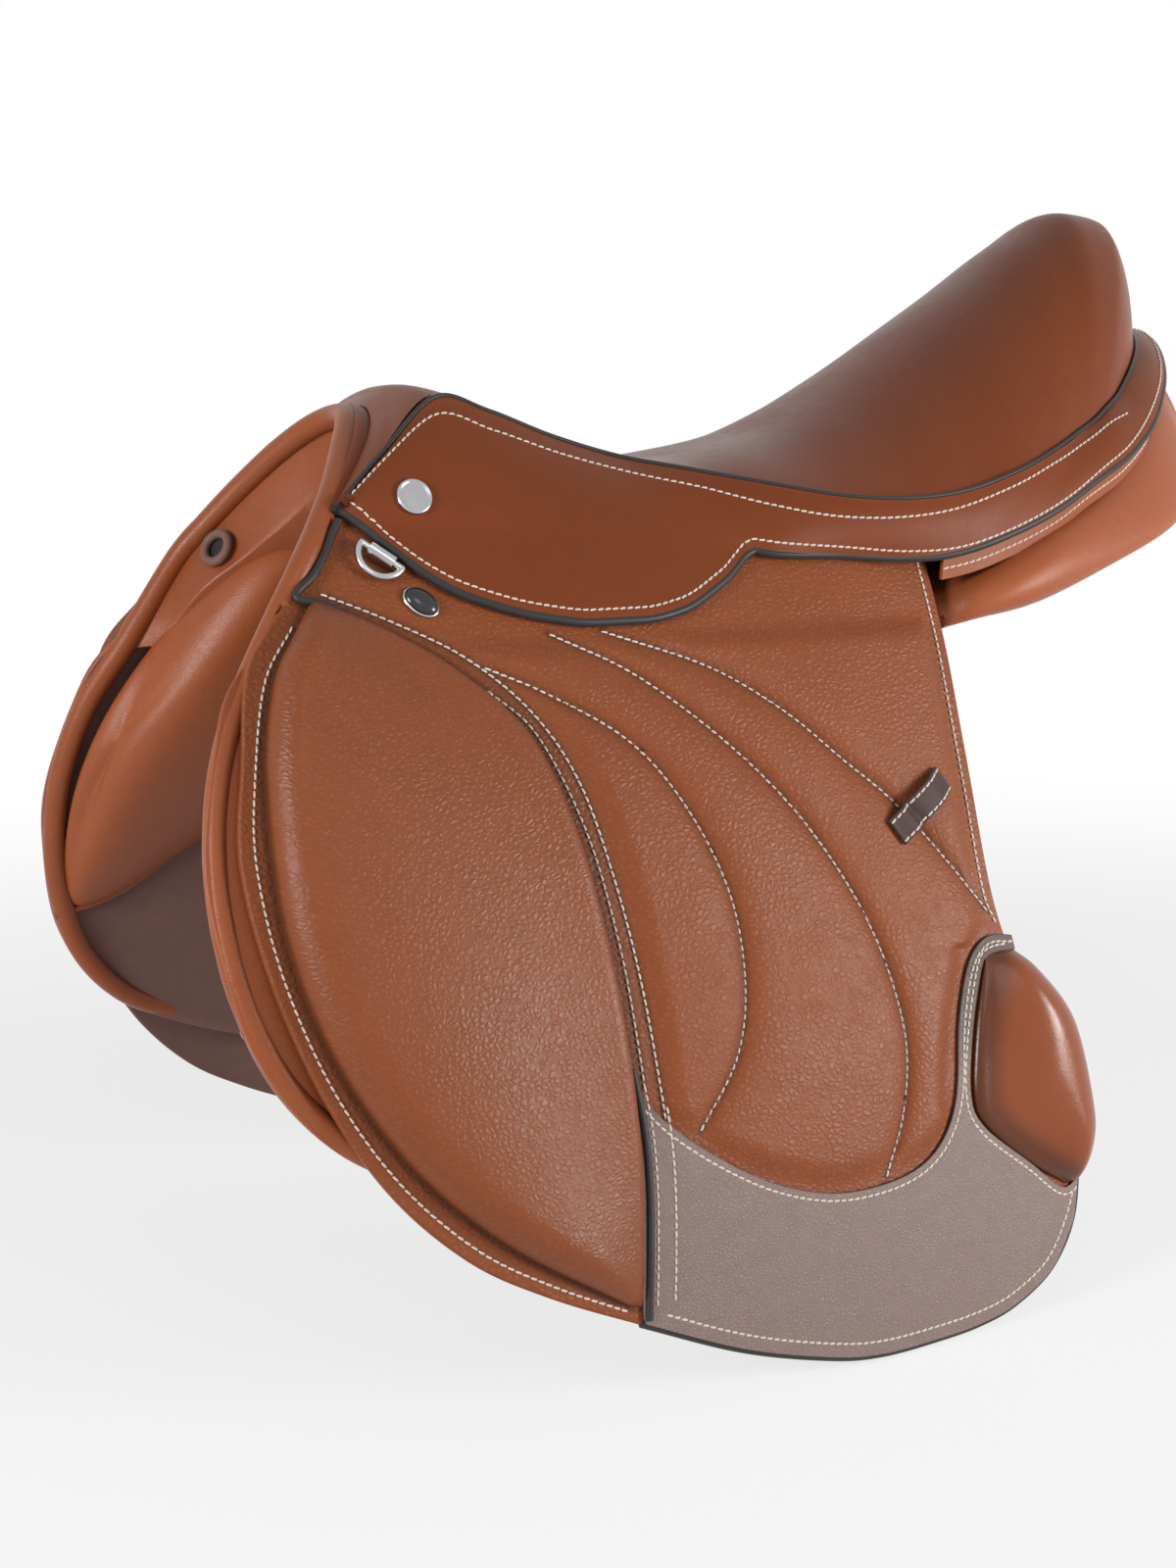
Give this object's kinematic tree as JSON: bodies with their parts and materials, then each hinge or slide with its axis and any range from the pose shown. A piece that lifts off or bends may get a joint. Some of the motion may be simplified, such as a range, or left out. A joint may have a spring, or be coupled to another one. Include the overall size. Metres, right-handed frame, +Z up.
{
  "type": "english saddle",
  "caption": "Close contact jumping saddle with a deep seat, forward flaps with knee pads and thigh blocks, stirrup bars, girth billets and padded panels.",
  "frame": {"origin": "crown of the gullet channel between the panels, below the middle of the seat", "axes": "+X to the rear, +Y to the right, +Z up"},
  "size_m": [0.5772, 0.3758, 0.5146],
  "materials": {
    "seat_leather": "smooth waxed leather",
    "flap_leather": "pebble grained leather",
    "panel_leather": "smooth soft leather",
    "dark_leather": "dark brown leather",
    "taupe_leather": "pigskin grain",
    "black_welt": "painted leather",
    "tree_polymer": "moulded",
    "bar_steel": "brushed",
    "chrome_trim": "polished",
    "black_stud": "polished",
    "foam": "open cell foam",
    "webbing": "woven webbing"
  },
  "bodies": {
    "saddle": {"tree": "tree_polymer", "head_arch": "bar_steel", "seat_webs": "webbing", "seat_foam": "foam", "seat_cover": "seat_leather", "seat_welt": "black_welt", "left_skirt_band": "seat_leather", "right_skirt_band": "seat_leather", "left_skirt_stud": "chrome_trim", "right_skirt_stud": "chrome_trim", "left_flap_head": "flap_leather", "right_flap_head": "flap_leather", "left_sweat_flap": "dark_leather", "right_sweat_flap": "dark_leather", "left_panel": "panel_leather", "right_panel": "panel_leather", "channel_lining": "dark_leather", "cantle_gusset": "panel_leather", "pommel_facing": "panel_leather", "pommel_rim": "panel_leather", "left_tab_ring": "dark_leather", "right_tab_ring": "dark_leather", "left_stirrup_bar": "bar_steel", "right_stirrup_bar": "bar_steel", "left_catch_pin": "bar_steel", "right_catch_pin": "bar_steel", "left_girth_web": "webbing", "right_girth_web": "webbing", "left_dee_barrel": "chrome_trim", "right_dee_barrel": "chrome_trim", "left_dee_stud": "black_stud", "right_dee_stud": "black_stud"},
    "left_flap": {"left_flap": "flap_leather", "left_knee_pad": "flap_leather", "left_thigh_block": "panel_leather", "left_wear_patch": "taupe_leather", "left_keeper": "dark_leather"},
    "left_skirt": {"left_skirt": "seat_leather"},
    "left_front_billet": {"left_front_billet": "dark_leather"},
    "left_middle_billet": {"left_middle_billet": "dark_leather"},
    "left_rear_billet": {"left_rear_billet": "dark_leather"},
    "left_buckle_guard": {"left_buckle_guard": "dark_leather"},
    "left_bar_catch": {"left_bar_catch": "bar_steel"},
    "left_dee_ring": {"left_dee_ring": "chrome_trim"},
    "right_flap": {"right_flap": "flap_leather", "right_knee_pad": "flap_leather", "right_thigh_block": "panel_leather", "right_wear_patch": "taupe_leather", "right_keeper": "dark_leather"},
    "right_skirt": {"right_skirt": "seat_leather"},
    "right_front_billet": {"right_front_billet": "dark_leather"},
    "right_middle_billet": {"right_middle_billet": "dark_leather"},
    "right_rear_billet": {"right_rear_billet": "dark_leather"},
    "right_buckle_guard": {"right_buckle_guard": "dark_leather"},
    "right_bar_catch": {"right_bar_catch": "bar_steel"},
    "right_dee_ring": {"right_dee_ring": "chrome_trim"}
  },
  "joints": [
    {"name": "left_flap_lift", "type": "hinge", "parent": "saddle", "child": "left_flap", "pos_m": [0, -0.106, -0.026], "axis": [-1, 0, 0], "range_deg": [0, 80]},
    {"name": "left_skirt_lift", "type": "hinge", "parent": "saddle", "child": "left_skirt", "pos_m": [-0.22241, -0.07629, 0.02513], "axis": [-0.9928, 0.0873, 0.082], "range_deg": [0, 80]},
    {"name": "left_front_billet_swing", "type": "hinge", "parent": "saddle", "child": "left_front_billet", "pos_m": [-0.09, -0.07311, 0.00064], "axis": [0, -0.8832, 0.469], "range_deg": [-6, 6]},
    {"name": "left_middle_billet_swing", "type": "hinge", "parent": "saddle", "child": "left_middle_billet", "pos_m": [-0.05, -0.07911, 0.00383], "axis": [0, -0.8832, 0.469], "range_deg": [-6, 6]},
    {"name": "left_rear_billet_swing", "type": "hinge", "parent": "saddle", "child": "left_rear_billet", "pos_m": [-0.01, -0.07311, 0.00064], "axis": [0, -0.8832, 0.469], "range_deg": [-6, 6]},
    {"name": "left_buckle_guard_slide", "type": "hinge", "parent": "left_middle_billet", "child": "left_buckle_guard", "pos_m": [-0.05, 0.6196, -0.36718], "axis": [1, 0, 0], "range_deg": [0, 5.8]},
    {"name": "left_bar_catch_flip", "type": "hinge", "parent": "saddle", "child": "left_bar_catch", "pos_m": [-0.10585, -0.08083, 0.00285], "axis": [-0.0265, -0.8676, 0.4966], "range_deg": [0, 75]},
    {"name": "left_dee_ring_swing", "type": "hinge", "parent": "saddle", "child": "left_dee_ring", "pos_m": [-0.21723, -0.08169, 0.01171], "axis": [-0.7268, 0.3872, 0.5673], "range_deg": [0, 90]},
    {"name": "right_flap_lift", "type": "hinge", "parent": "saddle", "child": "right_flap", "pos_m": [0, 0.106, -0.026], "axis": [1, 0, 0], "range_deg": [0, 80]},
    {"name": "right_skirt_lift", "type": "hinge", "parent": "saddle", "child": "right_skirt", "pos_m": [-0.22241, 0.07629, 0.02513], "axis": [0.9928, 0.0873, -0.082], "range_deg": [0, 80]},
    {"name": "right_front_billet_swing", "type": "hinge", "parent": "saddle", "child": "right_front_billet", "pos_m": [-0.09, 0.07311, 0.00064], "axis": [0, -0.8832, -0.469], "range_deg": [-6, 6]},
    {"name": "right_middle_billet_swing", "type": "hinge", "parent": "saddle", "child": "right_middle_billet", "pos_m": [-0.05, 0.07911, 0.00383], "axis": [0, -0.8832, -0.469], "range_deg": [-6, 6]},
    {"name": "right_rear_billet_swing", "type": "hinge", "parent": "saddle", "child": "right_rear_billet", "pos_m": [-0.01, 0.07311, 0.00064], "axis": [0, -0.8832, -0.469], "range_deg": [-6, 6]},
    {"name": "right_buckle_guard_slide", "type": "hinge", "parent": "right_middle_billet", "child": "right_buckle_guard", "pos_m": [-0.05, -0.6196, -0.36718], "axis": [-1, 0, 0], "range_deg": [0, 5.8]},
    {"name": "right_bar_catch_flip", "type": "hinge", "parent": "saddle", "child": "right_bar_catch", "pos_m": [-0.10585, 0.08083, 0.00285], "axis": [0.0265, -0.8676, -0.4966], "range_deg": [0, 75]},
    {"name": "right_dee_ring_swing", "type": "hinge", "parent": "saddle", "child": "right_dee_ring", "pos_m": [-0.21723, 0.08169, 0.01171], "axis": [0.7268, 0.3872, -0.5673], "range_deg": [0, 90]}
  ]
}
